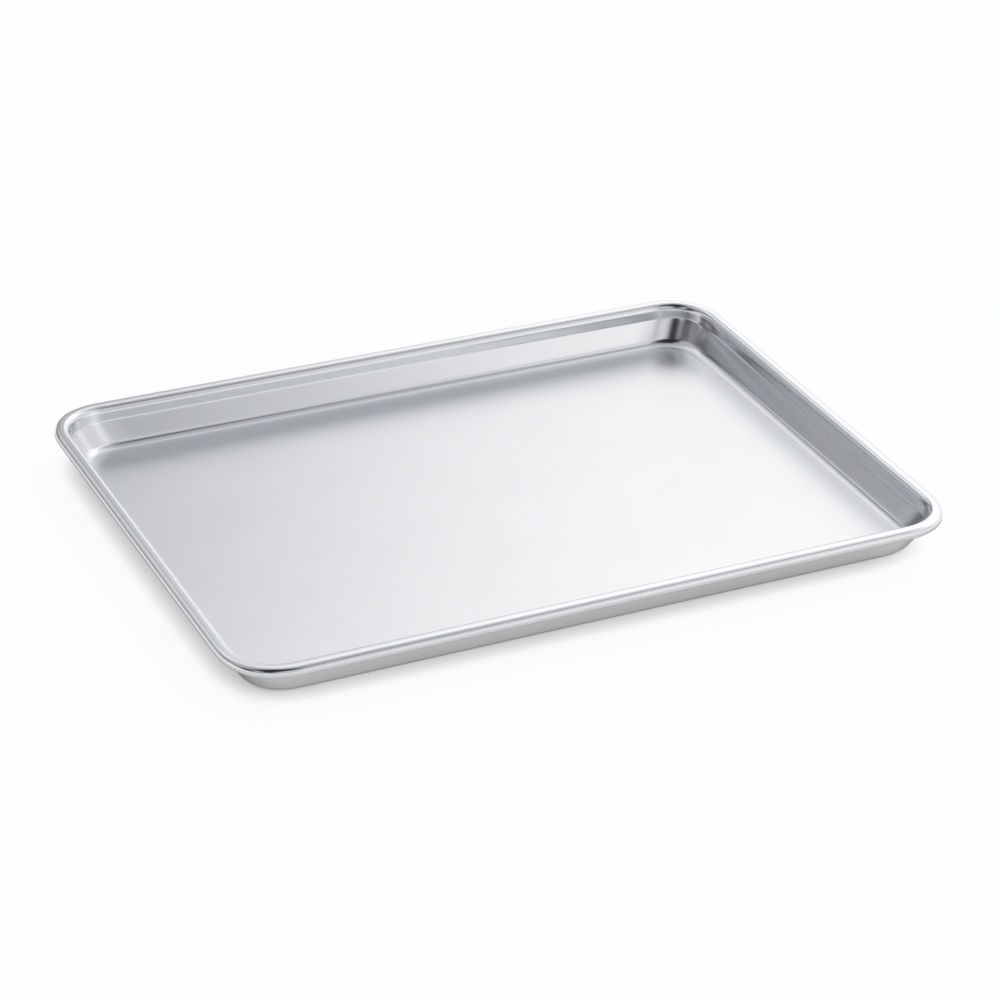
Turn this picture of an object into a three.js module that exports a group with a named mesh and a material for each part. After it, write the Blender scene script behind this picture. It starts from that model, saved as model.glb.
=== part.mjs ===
// Aluminium baking tray: one pressed sheet with a rolled rim, and the steel wire that the rim closes in.
// Millimetres, +Z up, X along the length. The origin is the middle of the underside.
import * as THREE from 'three';

// Driving dimensions, in millimetres
const TRAY_LENGTH = 455; // over the rim, along X
const TRAY_WIDTH = 328; // over the rim, along Y
const TRAY_HEIGHT = 26; // from the underside to the top of the rim
const SHEET_THICKNESS = 1;
const FLOOR_FILLET = 7; // inside radius between the floor and the wall
const CREASE_DEPTH = 9.2; // from the top of the rim down to the crease between the wall and the neck
const CREASE_RADIUS = 6; // inside radius of the crease
const FLARE_RADIUS = 8; // outside radius where the neck starts to turn out into the rim
const SHOULDER_RADIUS = 3.5; // outside radius of the rest of that turn
const RIM_FLAT = 2.25; // level width of the rim between the shoulder and the roll
const RIM_CORNER_RADIUS = 34; // plan radius at the outer edge of the rim
const FLOOR_CORNER_RADIUS = 24; // plan radius at the edge of the flat floor
const WIRE_DIAMETER = 4;
const WIRE_CLEARANCE = 0.3; // all round, between the wire and the sheet rolled round it
const WIRE_BUTT_GAP = 0.8; // between the two ends of the wire

// Driving angles, in degrees
const WALL_DRAFT_DEGREES = 24.5; // lean of the straight walls from upright
const NECK_DRAFT_DEGREES = 8; // lean of the neck, above the crease
const SHOULDER_TURN_DEGREES = 60; // part of the turn into the rim that has the shoulder's radius
const ROLL_TURN_DEGREES = 250; // how far round the wire the sheet is rolled, from the top

// Facets of the round stretches
const CORNER_STEPS = 8;
const SECTION_STEP_DEGREES = 15;
const WIRE_SIDES = 12;

const UP = Math.PI / 2;
const DOWN = -Math.PI / 2;
const INWARD = Math.PI;
const wallDraft = THREE.MathUtils.degToRad(WALL_DRAFT_DEGREES);
const neckDraft = THREE.MathUtils.degToRad(NECK_DRAFT_DEGREES);

// Directions in which stretches of the sheet's upper face look
const turnFacing = UP + THREE.MathUtils.degToRad(SHOULDER_TURN_DEGREES);
const neckFacing = INWARD - neckDraft;
const creaseFacing = INWARD - (wallDraft + neckDraft) / 2;

function pointAt(centre, distance, angle) {
  return new THREE.Vector2(distance * Math.cos(angle), distance * Math.sin(angle)).add(centre);
}

// A section is drawn in the plane square to the rim: x is the reach, 0 at the rim's outer edge and
// negative towards the middle of the tray, and y is the height above the underside.
const wireRadius = WIRE_DIAMETER / 2;
const rollInside = wireRadius + WIRE_CLEARANCE;
const rollOutside = rollInside + SHEET_THICKNESS;
const wireCentre = new THREE.Vector2(-rollOutside, TRAY_HEIGHT - rollOutside);
const rollEnd = UP - THREE.MathUtils.degToRad(ROLL_TURN_DEGREES);

// From the rim down, each arc of the upper face runs on from the one before it
const shoulderCentre = new THREE.Vector2(wireCentre.x - RIM_FLAT, TRAY_HEIGHT - SHOULDER_RADIUS);
const flareCentre = pointAt(shoulderCentre, SHOULDER_RADIUS - FLARE_RADIUS, turnFacing);
const neckTop = pointAt(flareCentre, FLARE_RADIUS, neckFacing);

// The neck's line and the wall's line cross at the crease, which an arc rounds off
const creaseHeight = TRAY_HEIGHT - CREASE_DEPTH;
const creaseReach = neckTop.x - (neckTop.y - creaseHeight) * Math.tan(neckDraft);
const crease = new THREE.Vector2(creaseReach, creaseHeight);
const creaseCentre = pointAt(crease, CREASE_RADIUS / Math.cos((wallDraft - neckDraft) / 2), creaseFacing);

// The wall's line ends where it touches the fillet that stands on the floor
const filletHeight = SHEET_THICKNESS + FLOOR_FILLET;
const wallFootHeight = filletHeight - FLOOR_FILLET * Math.sin(wallDraft);
const wallFootReach = creaseReach - (creaseHeight - wallFootHeight) * Math.tan(wallDraft);
const filletReach = wallFootReach - FLOOR_FILLET * Math.cos(wallDraft);
const filletCentre = new THREE.Vector2(filletReach, filletHeight);

function arcPoints(centre, radius, from, to) {
  const turn = THREE.MathUtils.radToDeg(Math.abs(to - from));
  const steps = Math.ceil(turn / SECTION_STEP_DEGREES);
  const clockwise = to < from;
  return new THREE.EllipseCurve(centre.x, centre.y, radius, radius, from, to, clockwise).getPoints(steps);
}

// The sheet's section: out along its upper face from the floor to the rolled edge, and back along its
// lower face. Arcs that meet share a point, so the second of them leaves its first point out.
function sheetSection() {
  return [
    ...arcPoints(filletCentre, FLOOR_FILLET, DOWN, -wallDraft),
    ...arcPoints(creaseCentre, CREASE_RADIUS, -wallDraft, -neckDraft),
    ...arcPoints(flareCentre, FLARE_RADIUS, neckFacing, turnFacing),
    ...arcPoints(shoulderCentre, SHOULDER_RADIUS, turnFacing, UP).slice(1),
    ...arcPoints(wireCentre, rollOutside, UP, rollEnd),
    ...arcPoints(wireCentre, rollInside, rollEnd, UP),
    ...arcPoints(shoulderCentre, SHOULDER_RADIUS - SHEET_THICKNESS, UP, turnFacing),
    ...arcPoints(flareCentre, FLARE_RADIUS - SHEET_THICKNESS, turnFacing, neckFacing).slice(1),
    ...arcPoints(creaseCentre, CREASE_RADIUS + SHEET_THICKNESS, -neckDraft, -wallDraft),
    ...arcPoints(filletCentre, FLOOR_FILLET + SHEET_THICKNESS, -wallDraft, DOWN),
  ];
}

// Plan radius of the tray's corner at a reach. The rim and the neck turn about one centre, and below
// the crease the radius runs evenly to that of the floor.
function cornerRadiusAt(reach) {
  const aboutRim = RIM_CORNER_RADIUS + Math.max(reach, creaseReach);
  const part = Math.max(0, (creaseReach - reach) / (creaseReach - filletReach));
  return THREE.MathUtils.lerp(aboutRim, FLOOR_CORNER_RADIUS, part);
}

// Plan outline that one point of a section follows: a rounded rectangle, anticlockwise from above,
// starting where the back side turns into the left-hand corner
function outlineOf(point) {
  const radius = cornerRadiusAt(point.x);
  const centreX = TRAY_LENGTH / 2 + point.x - radius;
  const centreY = TRAY_WIDTH / 2 + point.x - radius;
  const corners = [[-1, 1], [-1, -1], [1, -1], [1, 1]];
  return corners.flatMap(([sideX, sideY], corner) => {
    const start = UP * (corner + 1);
    const curve = new THREE.EllipseCurve(
      sideX * centreX, sideY * centreY, radius, radius, start, start + UP,
    );
    return curve.getPoints(CORNER_STEPS).map((place) => new THREE.Vector3(place.x, place.y, point.y));
  });
}

// A closed body from rows of loops: a skin from each loop to the next, and a fan over each end
function loft(rows) {
  const count = rows[0].length;
  const points = rows.flat();
  const triangles = [];
  const next = (column) => (column + 1) % count;
  for (let row = 0; row < rows.length - 1; row += 1) {
    const here = row * count;
    const beyond = here + count;
    for (let column = 0; column < count; column += 1) {
      triangles.push(here + column, beyond + column, beyond + next(column));
      triangles.push(here + column, beyond + next(column), here + next(column));
    }
  }
  const middleOf = (row) => row.reduce((sum, point) => sum.add(point), new THREE.Vector3())
    .divideScalar(count);
  const firstMiddle = points.push(middleOf(rows[0])) - 1;
  const lastMiddle = points.push(middleOf(rows.at(-1))) - 1;
  const lastRow = (rows.length - 1) * count;
  for (let column = 0; column < count; column += 1) {
    triangles.push(firstMiddle, column, next(column));
    triangles.push(lastMiddle, lastRow + next(column), lastRow + column);
  }
  const geometry = new THREE.BufferGeometry().setFromPoints(points);
  geometry.setIndex(triangles);
  geometry.computeVertexNormals();
  return geometry;
}

function panSheetGeometry() {
  return loft(sheetSection().map(outlineOf));
}

// The wire runs once round the rim inside the roll, from one side of its butt joint to the other
function rimWireGeometry() {
  const section = new THREE.EllipseCurve(wireCentre.x, wireCentre.y, wireRadius, wireRadius)
    .getPoints(WIRE_SIDES)
    .slice(1);
  const runs = section.map((point) => {
    const backY = TRAY_WIDTH / 2 + point.x;
    const start = new THREE.Vector3(-WIRE_BUTT_GAP / 2, backY, point.y);
    const end = new THREE.Vector3(WIRE_BUTT_GAP / 2, backY, point.y);
    return [start, ...outlineOf(point), end];
  });
  const stations = runs[0].map((_, station) => runs.map((run) => run[station]));
  return loft(stations);
}

const satinAluminium = new THREE.MeshStandardMaterial({ color: 0xd3d6da, roughness: 0.35, metalness: 1 });
const galvanisedSteel = new THREE.MeshStandardMaterial({ color: 0xa3a7aa, roughness: 0.5, metalness: 1 });

function namedMesh(name, geometry, material) {
  const mesh = new THREE.Mesh(geometry, material);
  mesh.name = name;
  return mesh;
}

const bakingTray = new THREE.Group();
bakingTray.add(namedMesh('pan_sheet', panSheetGeometry(), satinAluminium));
bakingTray.add(namedMesh('rim_wire', rimWireGeometry(), galvanisedSteel));

export default bakingTray;
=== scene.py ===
"""Looks of an aluminium baking tray: the pressed sheet with its rolled rim, and the wire inside the rim.

Metres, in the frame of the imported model: +Z up, X along the length, origin in the middle of the underside.
"""
import math
from collections import namedtuple

import bpy
from mathutils import Matrix, Vector


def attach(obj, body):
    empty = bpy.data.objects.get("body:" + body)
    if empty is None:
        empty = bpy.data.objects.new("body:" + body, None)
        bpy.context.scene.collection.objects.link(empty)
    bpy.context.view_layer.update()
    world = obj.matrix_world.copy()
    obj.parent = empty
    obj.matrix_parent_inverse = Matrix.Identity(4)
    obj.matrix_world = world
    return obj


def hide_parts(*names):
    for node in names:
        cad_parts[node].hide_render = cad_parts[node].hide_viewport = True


MM = 0.001

# Sizes of the tray, the same as in the part's source
TRAY_LENGTH = 455 * MM
TRAY_WIDTH = 328 * MM
TRAY_HEIGHT = 26 * MM
SHEET_THICKNESS = 1 * MM
FLOOR_FILLET = 7 * MM
CREASE_DEPTH = 9.2 * MM
CREASE_RADIUS = 6 * MM
FLARE_RADIUS = 8 * MM
SHOULDER_RADIUS = 3.5 * MM
RIM_FLAT = 2.25 * MM
RIM_CORNER_RADIUS = 34 * MM
FLOOR_CORNER_RADIUS = 24 * MM
WIRE_DIAMETER = 4 * MM
WIRE_CLEARANCE = 0.3 * MM
WIRE_BUTT_GAP = 0.8 * MM
WALL_DRAFT = math.radians(24.5)
NECK_DRAFT = math.radians(8)
SHOULDER_TURN = math.radians(60)
ROLL_TURN = math.radians(250)

# Power of the curve round a corner. It would be an arc at the lower one, and has softer ends above that.
ARC_POWER = 2
CORNER_POWER = 2.4

# Facets of the round stretches and of the straight ones
SECTION_STEP = math.radians(4)
CORNER_STEPS = 28
LENGTH_STEPS = 30
WIDTH_STEPS = 22
WALL_STEPS = 5
NECK_STEPS = 3
WIRE_SIDES = 28
SHARP_ANGLE = math.radians(40)

# Rings of the flat floor inside its edge, as distances from the edge
FLOOR_RINGS = (1 * MM, 3 * MM, 8 * MM)

# Sides of the corners in X and Y, in order round an outline, with the facets of the straight after each
CORNERS = ((-1, 1, WIDTH_STEPS), (-1, -1, LENGTH_STEPS), (1, -1, WIDTH_STEPS), (1, 1, LENGTH_STEPS))

UP = math.pi / 2
DOWN = -math.pi / 2
INWARD = math.pi


def point_at(centre, distance, angle):
    """The point of the section's plane at a distance and an angle from a centre."""
    return centre + distance * Vector((math.cos(angle), math.sin(angle)))


# A section's x is the reach from the rim's outer edge, negative inwards, and its y is the height
wire_radius = WIRE_DIAMETER / 2
roll_inside = wire_radius + WIRE_CLEARANCE
roll_outside = roll_inside + SHEET_THICKNESS
wire_centre = Vector((-roll_outside, TRAY_HEIGHT - roll_outside))
roll_end = UP - ROLL_TURN

# From the rim down, each arc of the upper face runs on from the one before it
turn_facing = UP + SHOULDER_TURN
neck_facing = INWARD - NECK_DRAFT
shoulder_centre = Vector((wire_centre.x - RIM_FLAT, TRAY_HEIGHT - SHOULDER_RADIUS))
flare_centre = point_at(shoulder_centre, SHOULDER_RADIUS - FLARE_RADIUS, turn_facing)
neck_top = point_at(flare_centre, FLARE_RADIUS, neck_facing)

# The neck's line and the wall's line cross at the crease, which an arc rounds off
crease_height = TRAY_HEIGHT - CREASE_DEPTH
crease_reach = neck_top.x - (neck_top.y - crease_height) * math.tan(NECK_DRAFT)
crease_facing = INWARD - (WALL_DRAFT + NECK_DRAFT) / 2
crease_offset = CREASE_RADIUS / math.cos((WALL_DRAFT - NECK_DRAFT) / 2)
crease_centre = point_at(Vector((crease_reach, crease_height)), crease_offset, crease_facing)

# The wall's line ends where it touches the fillet that stands on the floor
fillet_height = SHEET_THICKNESS + FLOOR_FILLET
wall_foot_height = fillet_height - FLOOR_FILLET * math.sin(WALL_DRAFT)
wall_foot_reach = crease_reach - (crease_height - wall_foot_height) * math.tan(WALL_DRAFT)
fillet_reach = wall_foot_reach - FLOOR_FILLET * math.cos(WALL_DRAFT)
fillet_centre = Vector((fillet_reach, fillet_height))


def arc(centre, radius, start, end):
    """Points of an arc in the section's plane, from one angle to another."""
    steps = max(1, math.ceil(abs(end - start) / SECTION_STEP))
    angles = [start + (end - start) * step / steps for step in range(steps + 1)]
    return [point_at(centre, radius, angle) for angle in angles]


def straight(start, end, steps):
    """Points between two points, without the two."""
    return [start.lerp(end, step / steps) for step in range(1, steps)]


def upper_section():
    """The sheet's upper face, from the edge of the flat floor out to the rolled edge."""
    fillet = arc(fillet_centre, FLOOR_FILLET, DOWN, -WALL_DRAFT)
    crease = arc(crease_centre, CREASE_RADIUS, -WALL_DRAFT, -NECK_DRAFT)
    flare = arc(flare_centre, FLARE_RADIUS, neck_facing, turn_facing)
    shoulder = arc(shoulder_centre, SHOULDER_RADIUS, turn_facing, UP)[1:]
    roll = arc(wire_centre, roll_outside, UP, roll_end)
    wall = straight(fillet[-1], crease[0], WALL_STEPS)
    neck = straight(crease[-1], flare[0], NECK_STEPS)
    return fillet + wall + crease + neck + flare + shoulder + roll


def lower_section():
    """The sheet's lower face, from the rolled edge back to the edge of the flat underside."""
    roll = arc(wire_centre, roll_inside, roll_end, UP)
    shoulder = arc(shoulder_centre, SHOULDER_RADIUS - SHEET_THICKNESS, UP, turn_facing)
    flare = arc(flare_centre, FLARE_RADIUS - SHEET_THICKNESS, turn_facing, neck_facing)[1:]
    crease = arc(crease_centre, CREASE_RADIUS + SHEET_THICKNESS, -NECK_DRAFT, -WALL_DRAFT)
    fillet = arc(fillet_centre, FLOOR_FILLET + SHEET_THICKNESS, -WALL_DRAFT, DOWN)
    neck = straight(flare[-1], crease[0], NECK_STEPS)
    wall = straight(crease[-1], fillet[0], WALL_STEPS)
    return roll + shoulder + flare + neck + crease + wall + fillet


def corner_radius_at(reach):
    """Plan radius of a corner at a reach. It runs evenly from the crease to the edge of the floor."""
    if reach <= fillet_reach:
        return FLOOR_CORNER_RADIUS + reach - fillet_reach
    if reach >= crease_reach:
        return RIM_CORNER_RADIUS + reach
    part = (crease_reach - reach) / (crease_reach - fillet_reach)
    return (RIM_CORNER_RADIUS + crease_reach) * (1 - part) + FLOOR_CORNER_RADIUS * part


def eased(value):
    """A cosine or sine of the angle round a corner, for a bend that sets in gradually."""
    return math.copysign(abs(value) ** (ARC_POWER / CORNER_POWER), value)


def corner_inset(power):
    """How far along each axis the middle of a corner of extent 1 lies in from the sharp corner."""
    return 1 - 0.5 ** (1 / power)


def rounded_rectangle(reach, radius, height):
    """A level outline at a reach, anticlockwise from above, through the middle of an arc of the radius."""
    extent = radius * corner_inset(ARC_POWER) / corner_inset(CORNER_POWER)
    centre_x = TRAY_LENGTH / 2 + reach - extent
    centre_y = TRAY_WIDTH / 2 + reach - extent
    rounds = []
    for corner, (side_x, side_y, _) in enumerate(CORNERS):
        angles = [UP * (corner + 1 + step / CORNER_STEPS) for step in range(CORNER_STEPS + 1)]
        middle = Vector((side_x * centre_x, side_y * centre_y, height))
        bends = [Vector((eased(math.cos(angle)), eased(math.sin(angle)), 0)) for angle in angles]
        rounds.append([middle + extent * bend for bend in bends])
    outline = []
    for corner, (_, _, steps) in enumerate(CORNERS):
        following = rounds[(corner + 1) % len(CORNERS)]
        outline += rounds[corner] + straight(rounds[corner][-1], following[0], steps)
    return outline


def corner_shares():
    """For each point of an outline, 1 in a corner and 0 between the corners."""
    shares = []
    for _, _, steps in CORNERS:
        shares += [1] * (CORNER_STEPS + 1) + [0] * (steps - 1)
    return shares


def outline_of(point):
    """The outline that a point of the section follows."""
    return rounded_rectangle(point.x, corner_radius_at(point.x), point.y)


def lengths_along(points):
    """How far along a row of points each of them lies."""
    lengths = [0]
    for before, after in zip(points, points[1:]):
        lengths.append(lengths[-1] + (after - before).length)
    return lengths


def loft(rows):
    """Vertices and faces of a closed body: a skin from each loop to the next, and a face over each end."""
    count = len(rows[0])
    vertices = [point for row in rows for point in row]
    faces = []
    for row in range(len(rows) - 1):
        here = row * count
        beyond = here + count
        for column in range(count):
            following = (column + 1) % count
            faces.append((here + column, beyond + column, beyond + following, here + following))
    last = (len(rows) - 1) * count
    faces.append(tuple(range(count)))
    faces.append(tuple(reversed(range(last, last + count))))
    return vertices, faces


def new_piece(name, vertices, faces, node, slot, material):
    """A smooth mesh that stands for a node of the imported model."""
    mesh = bpy.data.meshes.new(name)
    mesh.from_pydata(vertices, [], faces)
    mesh.shade_smooth()
    mesh.set_sharp_from_angle(angle=SHARP_ANGLE)
    mesh.materials.append(material)
    piece = bpy.data.objects.new(name, mesh)
    bpy.context.scene.collection.objects.link(piece)
    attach(piece, "root")
    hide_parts(node)
    return piece


def keep_numbers(mesh, name, numbers):
    """Keeps a number for each point of a mesh, for its material."""
    attribute = mesh.attributes.new(name, "FLOAT", "POINT")
    attribute.data.foreach_set("value", numbers)


def keep_places(mesh, name, places):
    """Keeps a place for each point of a mesh, for its material."""
    attribute = mesh.attributes.new(name, "FLOAT_VECTOR", "POINT")
    attribute.data.foreach_set("vector", [number for place in places for number in place])


def outside_shares(upper_lengths):
    """For each point of the upper face, 0 on the inside of the tray and 1 on its outside, past the rim. The
    outside is rougher and carries painted shade.
    """
    inside_length = upper_lengths[-1] - roll_outside * (ROLL_TURN - OUTSIDE_TURN)
    fade = roll_outside * OUTSIDE_FADE
    return [min(1, max(0, 0.5 + (length - inside_length) / fade)) for length in upper_lengths]


def add_pan():
    """The pressed sheet. Each of its points also keeps its place in the flat sheet before the pressing."""
    upper = upper_section()
    lower = lower_section()
    upper_lengths = lengths_along(upper)
    lower_lengths = [upper_lengths[-1] - length for length in lengths_along(lower)]
    floor = [Vector((fillet_reach - ring, SHEET_THICKNESS)) for ring in reversed(FLOOR_RINGS)]
    under = [Vector((fillet_reach - ring, 0)) for ring in FLOOR_RINGS]
    floor_lengths = [-ring for ring in reversed(FLOOR_RINGS)]
    under_lengths = [-ring for ring in FLOOR_RINGS]
    rows = [outline_of(point) for point in floor + upper + lower + under]
    lengths = floor_lengths + upper_lengths + lower_lengths + under_lengths
    pan = new_piece("pan", *loft(rows), "pan_sheet", "satin_aluminium", satin_aluminium())
    flat = []
    for length in lengths:
        flat += rounded_rectangle(fillet_reach + length, FLOOR_CORNER_RADIUS + length, 0)
    outside = [0] * len(floor) + outside_shares(upper_lengths) + [1] * (len(lower) + len(under))
    keep_places(pan.data, "flat", flat)
    keep_numbers(pan.data, "outside", [share for share in outside for _ in rows[0]])
    keep_numbers(pan.data, "corner", corner_shares() * len(rows))


def wire_run(point):
    """The way one side of the wire goes, from one side of its butt joint at the back to the other."""
    back_y = TRAY_WIDTH / 2 + point.x
    start = Vector((-WIRE_BUTT_GAP / 2, back_y, point.y))
    end = Vector((WIRE_BUTT_GAP / 2, back_y, point.y))
    back_points = LENGTH_STEPS - 1
    return [start] + outline_of(point)[:-back_points] + [end]


def add_wire():
    """The wire inside the roll."""
    sides = [2 * math.pi * side / WIRE_SIDES for side in range(WIRE_SIDES)]
    runs = [wire_run(point_at(wire_centre, wire_radius, angle)) for angle in sides]
    stations = [list(station) for station in zip(*runs)]
    new_piece("wire", *loft(stations), "rim_wire", "galvanised_wire", galvanised_wire())


def add_node(tree, kind, inputs=None, **settings):
    """A shader node with its settings, and with its inputs set to values or linked to outputs."""
    node = tree.nodes.new(kind)
    for name, value in settings.items():
        setattr(node, name, value)
    for socket, value in (inputs or {}).items():
        if isinstance(value, bpy.types.NodeSocket):
            tree.links.new(value, node.inputs[socket])
        else:
            node.inputs[socket].default_value = value
    return node


def noise(tree, place, scale, detail):
    """A noise from 0 to 1 over a place, with a scale for each axis."""
    scaled = add_node(tree, "ShaderNodeMapping", {"Vector": place, "Scale": scale}).outputs["Vector"]
    inputs = {"Vector": scaled, "Scale": 1, "Detail": detail}
    return add_node(tree, "ShaderNodeTexNoise", inputs).outputs["Fac"]


def ranged(tree, value, start, end, low, high, smooth=False):
    """A value between two ends taken evenly, or smoothly, to between two others."""
    inputs = {"Value": value, "From Min": start, "From Max": end, "To Min": low, "To Max": high}
    kind = "SMOOTHSTEP" if smooth else "LINEAR"
    return add_node(tree, "ShaderNodeMapRange", inputs, interpolation_type=kind).outputs["Result"]


def calculated(tree, operation, *values):
    """The result of a calculation on numbers and outputs."""
    return add_node(tree, "ShaderNodeMath", dict(enumerate(values)), operation=operation).outputs[0]


def mixed(tree, share, first, second):
    """A colour between two, of which either may be another node's output."""
    mix = add_node(tree, "ShaderNodeMixRGB", {"Fac": share, "Color1": first, "Color2": second})
    return mix.outputs["Color"]


def new_material(name):
    """A node material and its shader."""
    material = bpy.data.materials.new(name)
    material.use_nodes = True
    return material, material.node_tree, material.node_tree.nodes["Principled BSDF"]


# The sheet is duller on its flat floor than on the drawn walls, neck and corners, and dullest on its outside
FLOOR_ROUGHNESS = 0.27
WALL_ROUGHNESS = 0.13
NECK_ROUGHNESS = 0.19
CORNER_ROUGHNESS = 0.21
OUTSIDE_ROUGHNESS = 0.28

# Heights between which the floor's finish turns into the wall's, and the wall's into the neck's
FLOOR_LEVEL = 1.1 * MM
WALL_LEVEL = 3 * MM
CREASE_LEVEL = 14.5 * MM
NECK_LEVEL = 17 * MM

# How far round the roll from its top the outside starts, and over how much of the turn it sets in. The
# outside has its own roughness and painted shade.
OUTSIDE_TURN = math.radians(76)
OUTSIDE_FADE = math.radians(20)

# Fine grain along the sheet and wide clouds over it. Scales are per metre of the flat sheet.
GRAIN_SCALE = (14, 1600, 1)
GRAIN_DETAIL = 3
GRAIN_ROUGHNESS = 0.003
GRAIN_DEPTH = 0.0001 * MM
CLOUD_SCALE = (16, 22, 1)
CLOUD_DETAIL = 2
CLOUD_ROUGHNESS = 0.006

# Colours where the clouds are at their darkest and their lightest, and the noise's values there. The
# outside's colours are far darker than the inside's: painted shade, for the shaded floor under the rim that
# the outside reflects.
DARK_CLOUD = 0.3
LIGHT_CLOUD = 0.7
INSIDE_COLOURS = ((0.865, 0.875, 0.89, 1), (0.885, 0.895, 0.91, 1))
OUTSIDE_PAINTED_SHADE_COLOURS = ((0.60, 0.605, 0.615, 1), (0.63, 0.635, 0.645, 1))

# Part of the light that the inside and the outside still throw back at a glancing angle. The outside's low
# part is painted shade, which darkens the rim's outer edge.
INSIDE_GLANCE = (1, 1, 1, 1)
OUTSIDE_PAINTED_SHADE_GLANCE = (0.45, 0.45, 0.46, 1)


def satin_aluminium():
    """Rolled aluminium sheet: fine grain along its length and faint clouds, in the sheet's flat places. Its
    outside has painted shade: a darker colour and a weaker reflection at a glancing angle.
    """
    material, tree, shader = new_material("satin_aluminium")
    flat = add_node(tree, "ShaderNodeAttribute", attribute_name="flat").outputs["Vector"]
    outside = add_node(tree, "ShaderNodeAttribute", attribute_name="outside").outputs["Fac"]
    place = add_node(tree, "ShaderNodeTexCoord").outputs["Object"]
    height = add_node(tree, "ShaderNodeSeparateXYZ", {0: place}).outputs["Z"]
    grain = noise(tree, flat, GRAIN_SCALE, GRAIN_DETAIL)
    clouds = noise(tree, flat, CLOUD_SCALE, CLOUD_DETAIL)
    corner = add_node(tree, "ShaderNodeAttribute", attribute_name="corner").outputs["Fac"]
    side_dullness = ranged(tree, height, CREASE_LEVEL, NECK_LEVEL, WALL_ROUGHNESS, NECK_ROUGHNESS)
    corner_dullness = ranged(tree, corner, 0, 1, WALL_ROUGHNESS, CORNER_ROUGHNESS)
    wall_dullness = calculated(tree, "MAXIMUM", side_dullness, corner_dullness)
    inside_dullness = ranged(tree, height, FLOOR_LEVEL, WALL_LEVEL, FLOOR_ROUGHNESS, wall_dullness)
    dullness = ranged(tree, outside, 0, 1, inside_dullness, OUTSIDE_ROUGHNESS)
    grained = ranged(tree, grain, 0, 1, -GRAIN_ROUGHNESS, GRAIN_ROUGHNESS)
    clouded = ranged(tree, clouds, 0, 1, -CLOUD_ROUGHNESS, CLOUD_ROUGHNESS)
    roughness = calculated(tree, "ADD", dullness, calculated(tree, "ADD", grained, clouded))
    tone = ranged(tree, clouds, DARK_CLOUD, LIGHT_CLOUD, 0, 1)
    inside_colour = mixed(tree, tone, *INSIDE_COLOURS)
    # The outside's darker colour is painted shade, for the shaded floor that it reflects
    outside_painted_shade_colour = mixed(tree, tone, *OUTSIDE_PAINTED_SHADE_COLOURS)
    colour = mixed(tree, outside, inside_colour, outside_painted_shade_colour)
    bump = add_node(tree, "ShaderNodeBump", {"Height": grain, "Strength": 1, "Distance": GRAIN_DEPTH})
    tree.links.new(colour, shader.inputs["Base Color"])
    tree.links.new(roughness, shader.inputs["Roughness"])
    tree.links.new(bump.outputs["Normal"], shader.inputs["Normal"])
    shader.inputs["Metallic"].default_value = 1
    # The outside's weaker glancing reflection is painted shade
    glance_and_painted_shade = mixed(tree, outside, INSIDE_GLANCE, OUTSIDE_PAINTED_SHADE_GLANCE)
    tree.links.new(glance_and_painted_shade, shader.inputs["Specular Tint"])
    return material


# Colours and roughnesses of the darkest and lightest flakes of the zinc, and flakes per metre
ZINC_COLOURS = ((0.52, 0.53, 0.54, 1), (0.60, 0.61, 0.62, 1))
ZINC_ROUGHNESSES = (0.42, 0.55)
SPANGLE_SCALE = 700


def galvanised_wire():
    """Zinc coat with a fine spangle."""
    material, tree, shader = new_material("galvanised_wire")
    place = add_node(tree, "ShaderNodeTexCoord").outputs["Object"]
    spangle_inputs = {"Vector": place, "Scale": SPANGLE_SCALE}
    spangle = add_node(tree, "ShaderNodeTexVoronoi", spangle_inputs).outputs["Color"]
    tone = add_node(tree, "ShaderNodeSeparateColor", {0: spangle}).outputs[0]
    colour = mixed(tree, tone, *ZINC_COLOURS)
    roughness = ranged(tree, tone, 0, 1, *ZINC_ROUGHNESSES)
    tree.links.new(colour, shader.inputs["Base Color"])
    tree.links.new(roughness, shader.inputs["Roughness"])
    shader.inputs["Metallic"].default_value = 1
    return material


# Camera, fitted to the outline in the photograph
CAMERA_AZIMUTH = math.radians(-26.845)
CAMERA_ELEVATION = math.radians(29.394)
CAMERA_ROLL = math.radians(2.333)
CAMERA_DISTANCE = 1.93702
CAMERA_TARGET = Vector((-0.001877, -0.014710, 0.010))
CAMERA_LENS = 117.434
SENSOR_WIDTH = 36


def add_camera():
    """The camera at the photograph's viewing angle."""
    flat = math.cos(CAMERA_ELEVATION)
    back_x = math.sin(CAMERA_AZIMUTH) * flat
    back_y = -math.cos(CAMERA_AZIMUTH) * flat
    back = Vector((back_x, back_y, math.sin(CAMERA_ELEVATION)))
    level = Vector((math.cos(CAMERA_AZIMUTH), math.sin(CAMERA_AZIMUTH), 0))
    upright = back.cross(level)
    right = level * math.cos(CAMERA_ROLL) + upright * math.sin(CAMERA_ROLL)
    up = upright * math.cos(CAMERA_ROLL) - level * math.sin(CAMERA_ROLL)
    place = CAMERA_TARGET + back * CAMERA_DISTANCE
    data = bpy.data.cameras.new("camera")
    data.sensor_width = SENSOR_WIDTH
    data.lens = CAMERA_LENS
    camera = bpy.data.objects.new("camera", data)
    turn = Matrix((right, up, back)).transposed()
    camera.matrix_world = Matrix.Translation(place) @ turn.to_4x4()
    bpy.context.scene.collection.objects.link(camera)
    bpy.context.scene.camera = camera


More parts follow.
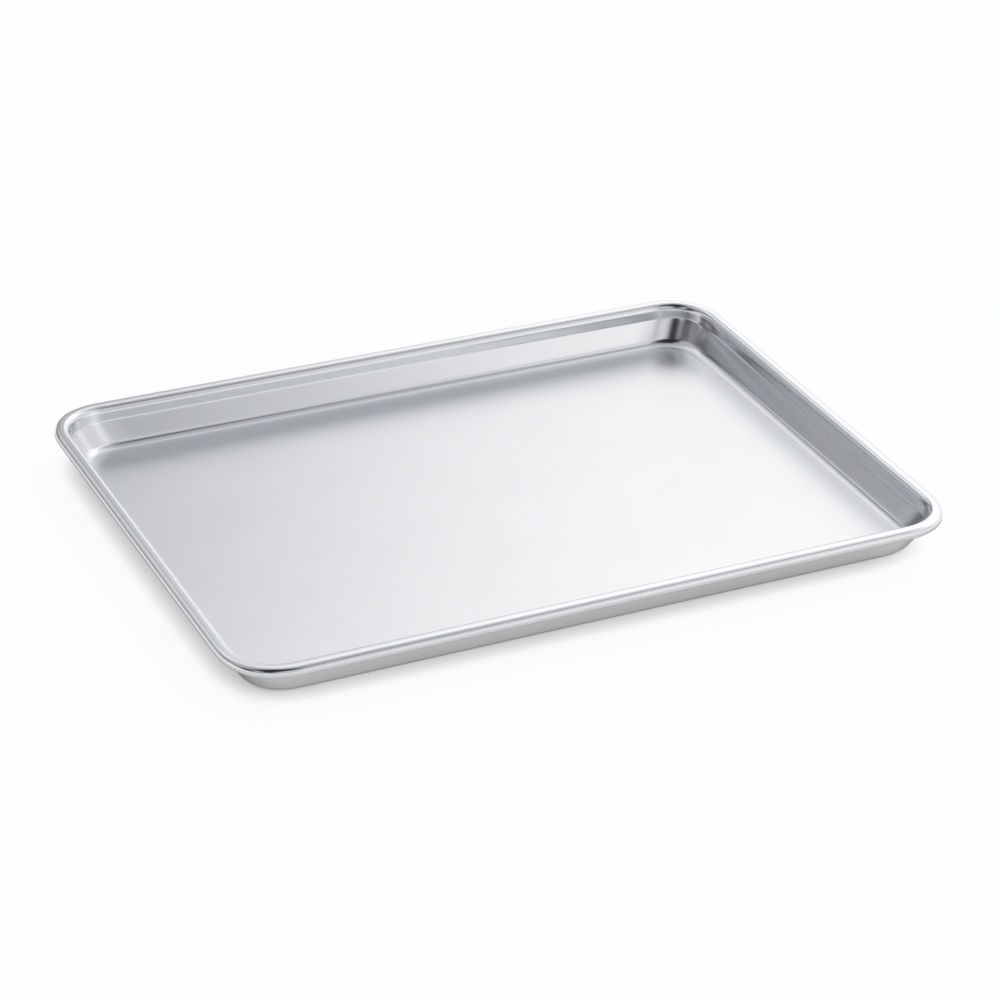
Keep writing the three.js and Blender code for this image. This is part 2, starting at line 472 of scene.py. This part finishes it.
# Soft panels round the tray, in degrees. Azimuths count from the front, positive to the right. An edge fades
# over the soft width or height.
SOFT_EDGE = 15
PANEL_FIELDS = "azimuth half_width elevation half_height strength soft_width soft_height"
Panel = namedtuple("Panel", PANEL_FIELDS, defaults=(SOFT_EDGE, SOFT_EDGE))
RIGHT_WALL = Panel(azimuth=90, half_width=68, elevation=18, half_height=28, strength=0.71)
BACK_RIGHT = Panel(azimuth=148, half_width=70, elevation=41, half_height=26, strength=0.36)
CEILING = Panel(azimuth=162, half_width=128, elevation=67, half_height=29, strength=0.45)
BACK_LEFT = Panel(azimuth=-134, half_width=46, elevation=33, half_height=11, strength=0.27)
LEFT_STRIP = Panel(azimuth=-114, half_width=32, elevation=10, half_height=6, strength=0.90, soft_width=35)
FRONT_STRIP = Panel(azimuth=-4, half_width=40, elevation=11, half_height=9, strength=0.49, soft_height=25)
FRONT_BOX = Panel(azimuth=2, half_width=18, elevation=30, half_height=7, strength=0.85)
FRONT_LEFT_BOX = Panel(azimuth=-52, half_width=8, elevation=29, half_height=8, strength=0.85)
PANELS = (RIGHT_WALL, BACK_RIGHT, CEILING, BACK_LEFT, LEFT_STRIP, FRONT_STRIP, FRONT_BOX, FRONT_LEFT_BOX)

# Light where no panel is, and its colour in the dim and the bright parts of the room
ROOM_LIGHT = 0.01
DIM_COLOUR = (0.95, 0.99, 1.08, 1)
BRIGHT_COLOUR = (1, 1, 1, 1)

# White backdrop that stands round the floor, with a dark opening on the left at the back, in degrees
BACKDROP_TOP = 7
BACKDROP_SOFT = 2
OPENING_AZIMUTH = -140
OPENING_HALF = 25
OPENING_SOFT = 10


def share_within(tree, distance, half, soft):
    """1 where an angle is less than half of a width, and 0 beyond it, with a soft edge."""
    outer = math.radians(half + soft / 2)
    inner = math.radians(half - soft / 2)
    return ranged(tree, distance, outer, inner, 0, 1, smooth=True)


def angle_beside(tree, azimuth, middle):
    """How far a direction lies to either side of an azimuth."""
    turned = calculated(tree, "SUBTRACT", azimuth, math.radians(middle))
    return calculated(tree, "ABSOLUTE", calculated(tree, "WRAP", turned, math.pi, -math.pi))


def panel_share(tree, azimuth, elevation, panel):
    """How much of a panel shows in a direction."""
    beside = angle_beside(tree, azimuth, panel.azimuth)
    turned = calculated(tree, "SUBTRACT", elevation, math.radians(panel.elevation))
    above = calculated(tree, "ABSOLUTE", turned)
    across = share_within(tree, beside, panel.half_width, panel.soft_width)
    along = share_within(tree, above, panel.half_height, panel.soft_height)
    return calculated(tree, "MULTIPLY", across, along)


def backdrop_share(tree, azimuth, elevation):
    """How much of the backdrop shows in a direction."""
    low = share_within(tree, elevation, BACKDROP_TOP, BACKDROP_SOFT)
    beside = angle_beside(tree, azimuth, OPENING_AZIMUTH)
    opening = share_within(tree, beside, OPENING_HALF, OPENING_SOFT)
    return calculated(tree, "MULTIPLY", low, calculated(tree, "SUBTRACT", 1, opening))


def add_light():
    """A room with soft panels and the backdrop round the tray."""
    world = bpy.data.worlds.new("studio")
    bpy.context.scene.world = world
    world.use_nodes = True
    tree = world.node_tree
    direction = add_node(tree, "ShaderNodeTexCoord").outputs["Generated"]
    parts = add_node(tree, "ShaderNodeSeparateXYZ", {0: direction}).outputs
    front = calculated(tree, "MULTIPLY", parts["Y"], -1)
    azimuth = calculated(tree, "ARCTAN2", parts["X"], front)
    elevation = calculated(tree, "ARCSINE", parts["Z"])
    light = ROOM_LIGHT
    for panel in PANELS:
        share = panel_share(tree, azimuth, elevation, panel)
        light = calculated(tree, "MULTIPLY_ADD", share, panel.strength, light)
    light = calculated(tree, "MAXIMUM", light, backdrop_share(tree, azimuth, elevation))
    background = tree.nodes["Background"]
    tint = mixed(tree, light, DIM_COLOUR, BRIGHT_COLOUR)
    tree.links.new(tint, background.inputs["Color"])
    tree.links.new(light, background.inputs["Strength"])


# Half of the floor's side, and the colour of its paint
FLOOR_HALF = 12
FLOOR_COLOUR = (0.15, 0.15, 0.15, 1)

# Glow of the floor where the room is open to it and where little of it is, and the shares of the room that
# count as such: a shadow of the tray painted into the glow. What counts as open leans to the right and the
# front, where more of the light comes from.
OPEN_GLOW = 0.91
SHUT_GLOW = 0.34
OPEN_SHARE = 0.45
SHUT_SHARE = 0.1
SHADE_REACH = 0.15
SHADE_LEAN_X = 0.13
SHADE_LEAN_Y = -0.12


def add_floor():
    """Pale floor that the camera and the metal see as white, with the tray's shadow on it: a painted shadow
    in its glow, and a faint real one on its paint.
    """
    half = FLOOR_HALF
    mesh = bpy.data.meshes.new("floor")
    corners = [(-half, -half, 0), (half, -half, 0), (half, half, 0), (-half, half, 0)]
    mesh.from_pydata(corners, [], [(0, 1, 2, 3)])
    floor = bpy.data.objects.new("floor", mesh)
    bpy.context.scene.collection.objects.link(floor)
    material = bpy.data.materials.new("floor")
    material.use_nodes = True
    material.cycles.emission_sampling = "NONE"
    tree = material.node_tree
    tree.nodes.clear()
    path = add_node(tree, "ShaderNodeLightPath").outputs
    seen = calculated(tree, "MAXIMUM", path["Is Camera Ray"], path["Is Glossy Ray"])
    seen = calculated(tree, "MAXIMUM", seen, path["Is Transmission Ray"])
    lean_inputs = {"X": SHADE_LEAN_X, "Y": SHADE_LEAN_Y, "Z": 1}
    lean = add_node(tree, "ShaderNodeCombineXYZ", lean_inputs).outputs[0]
    shade_inputs = {"Distance": SHADE_REACH, "Normal": lean}
    openness = add_node(tree, "ShaderNodeAmbientOcclusion", shade_inputs).outputs["AO"]
    # Painted shadow: the glow dims where the tray shuts the floor in
    shaded = ranged(tree, openness, SHUT_SHARE, OPEN_SHARE, SHUT_GLOW, OPEN_GLOW)
    strength = calculated(tree, "MULTIPLY", seen, shaded)
    glow = add_node(tree, "ShaderNodeEmission", {"Strength": strength}).outputs[0]
    paint = add_node(tree, "ShaderNodeBsdfDiffuse", {"Color": FLOOR_COLOUR}).outputs[0]
    both = add_node(tree, "ShaderNodeAddShader", {0: glow, 1: paint}).outputs[0]
    add_node(tree, "ShaderNodeOutputMaterial", {"Surface": both})
    mesh.materials.append(material)


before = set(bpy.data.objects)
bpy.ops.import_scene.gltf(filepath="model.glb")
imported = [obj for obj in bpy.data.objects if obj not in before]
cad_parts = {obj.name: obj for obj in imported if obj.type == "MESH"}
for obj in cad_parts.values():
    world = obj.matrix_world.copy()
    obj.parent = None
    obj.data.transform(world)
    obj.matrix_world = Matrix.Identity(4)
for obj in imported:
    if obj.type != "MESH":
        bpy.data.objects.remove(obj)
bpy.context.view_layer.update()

add_camera()
add_pan()
add_wire()
add_floor()
add_light()

bpy.context.scene.view_settings.view_transform = "Standard"
